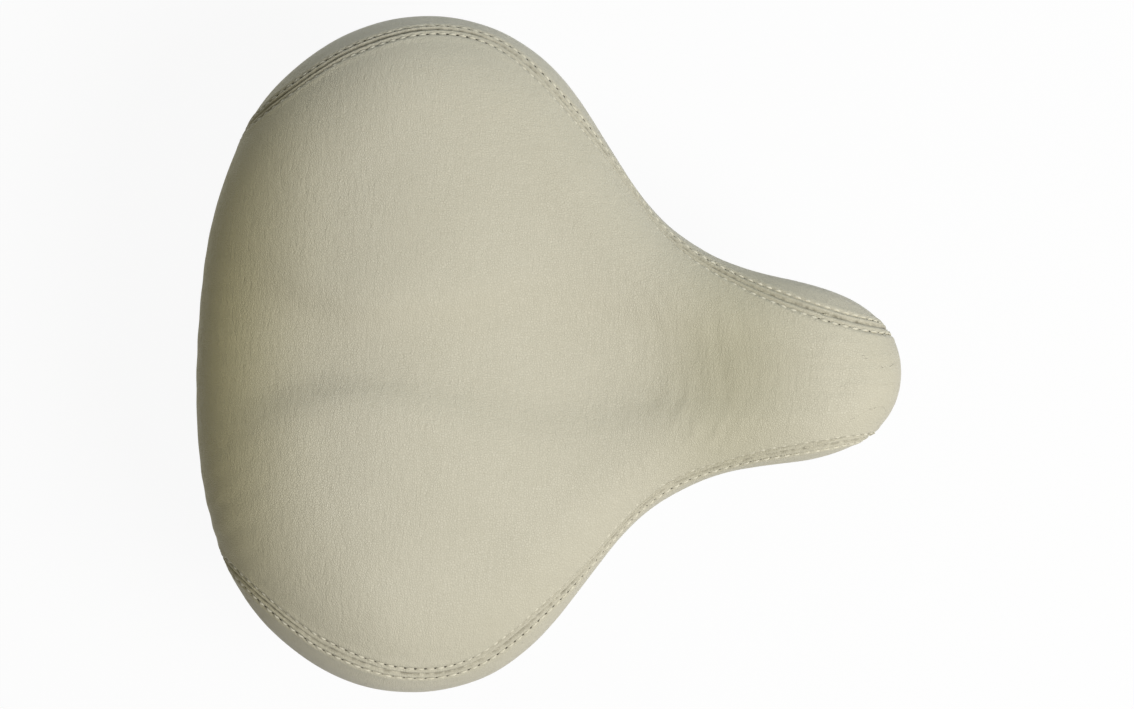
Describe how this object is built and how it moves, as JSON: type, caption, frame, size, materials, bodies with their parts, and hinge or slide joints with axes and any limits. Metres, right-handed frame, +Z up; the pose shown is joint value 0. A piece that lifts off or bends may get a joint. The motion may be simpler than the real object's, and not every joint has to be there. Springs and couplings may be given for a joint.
{
  "type": "bicycle saddle",
  "caption": "Wide padded bicycle saddle with a sewn cover over foam on a moulded base, coil springs, bent wire rails and a clamp for a straight seat post.",
  "frame": {"origin": "centre of the bore that grips the seat post, at mid height of the clamp band", "axes": "+X forward to the saddle's nose, +Y to the rider's left, +Z up along the seat post"},
  "size_m": [0.2703, 0.2594, 0.1355],
  "materials": {
    "cover": "soft grained synthetic leather, satin",
    "foam": "moulded open-cell foam, matt",
    "base": "moulded black polypropylene",
    "zinc": "zinc-plated pressed steel",
    "fixings": "bright zinc-plated steel",
    "rail": "chrome-plated steel wire",
    "spring": "chrome-plated spring steel",
    "clamp": "black-coated pressed steel"
  },
  "bodies": {
    "post_clamp": {"post_clamp_band": "clamp", "clamp_bolt": "fixings", "clamp_washers": "fixings", "clamp_nuts": "fixings"},
    "rail_jaws": {"inner_rail_jaw_left": "clamp", "inner_rail_jaw_right": "clamp", "outer_rail_jaw_left": "clamp", "outer_rail_jaw_right": "clamp"},
    "rail_frame": {"rail_wire": "rail", "spring_seat_bottom_left": "zinc", "spring_seat_bottom_right": "zinc", "spring_bottom_bolts": "fixings", "spring_bottom_nuts": "fixings", "coil_spring_left": "spring", "coil_spring_right": "spring"},
    "seat": {"cover_centre_panel": "cover", "cover_side_panel_left": "cover", "cover_side_panel_right": "cover", "foam_pad": "foam", "base_shell": "base", "cover_staples": "fixings", "nose_bracket": "zinc", "nose_rivets": "fixings", "rear_crossbar": "zinc", "crossbar_screws": "fixings", "spring_top_bolts": "fixings", "spring_seat_top_left": "zinc", "spring_seat_top_right": "zinc"}
  },
  "joints": [
    {"name": "saddle_tilt", "type": "hinge", "parent": "post_clamp", "child": "rail_jaws", "pos_m": [-0.027, 0, 0], "axis": [0, 1, 0], "range_deg": [-15, 15]},
    {"name": "fore_aft_slide", "type": "slide", "parent": "rail_jaws", "child": "rail_frame", "axis": [1, 0, 0], "range_m": [-0.02, 0.02]},
    {"name": "seat_suspension", "type": "hinge", "parent": "rail_frame", "child": "seat", "pos_m": [0.09, 0, 0.05], "axis": [0, -1, 0], "range_deg": [0, 5], "stiffness_Nm_per_rad": 1700, "deforming": ["coil_spring_left", "coil_spring_right"]}
  ]
}
